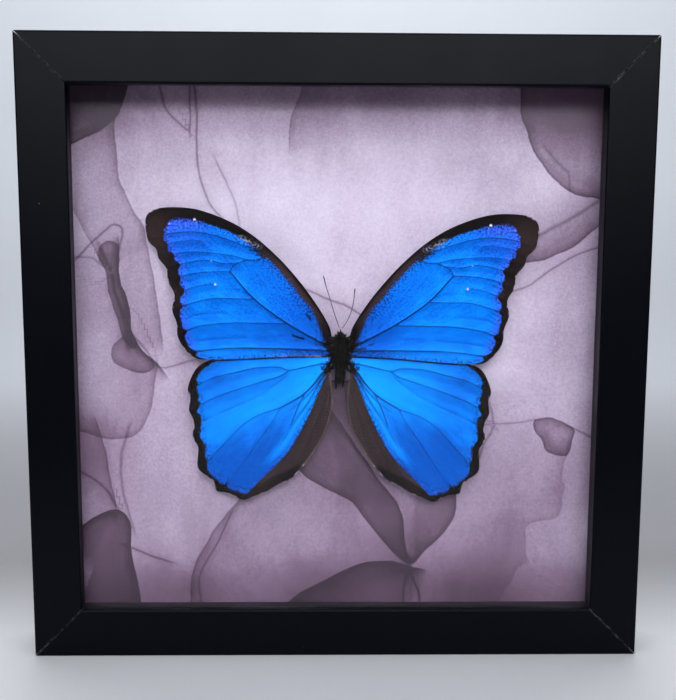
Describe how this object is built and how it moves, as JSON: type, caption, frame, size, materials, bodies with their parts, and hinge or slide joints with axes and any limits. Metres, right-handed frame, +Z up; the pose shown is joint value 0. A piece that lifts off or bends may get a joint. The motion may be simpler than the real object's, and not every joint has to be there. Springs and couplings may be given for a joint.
{
  "type": "framed butterfly specimen",
  "caption": "Square black shadow-box frame with a glass front, holding a spread blue butterfly over a lilac ink-wash sheet.",
  "frame": {"origin": "middle of the footprint: the point under the frame's middle on the surface that it stands on", "axes": "+Z up the frame, -Y out of the glass towards the viewer, +X to the viewer's right"},
  "size_m": [0.229, 0.03, 0.229],
  "materials": {
    "frame": "satin black foil on wood moulding, mitres worn",
    "glass": "clear float glass",
    "spacer": "matt black",
    "print": "matt printed paper, lilac ink wash with mauve veils",
    "board": "brown hardboard",
    "metal": "zinc plated",
    "pad": "closed-cell foam",
    "wing": "iridescent blue scales with black scalloped margins",
    "body": "dark hair"
  },
  "bodies": {
    "root": {"rail_top": "frame", "rail_bottom": "frame", "rail_left": "frame", "rail_right": "frame", "glass_pane": "glass", "spacer_top": "spacer", "spacer_bottom": "spacer", "spacer_left": "spacer", "spacer_right": "spacer", "backing_print": "print", "backing_board": "board", "retaining_tab_top_1": "metal", "retaining_tab_top_2": "metal", "retaining_tab_bottom_1": "metal", "retaining_tab_bottom_2": "metal", "retaining_tab_left_1": "metal", "retaining_tab_left_2": "metal", "retaining_tab_right_1": "metal", "retaining_tab_right_2": "metal", "sawtooth_hanger": "metal", "hanger_nail_left": "metal", "hanger_nail_right": "metal", "mounting_pad": "pad", "forewing_left": "wing", "forewing_right": "wing", "hindwing_left": "wing", "hindwing_right": "wing", "body": "body", "antenna_left": "body", "antenna_right": "body"}
  },
  "joints": []
}
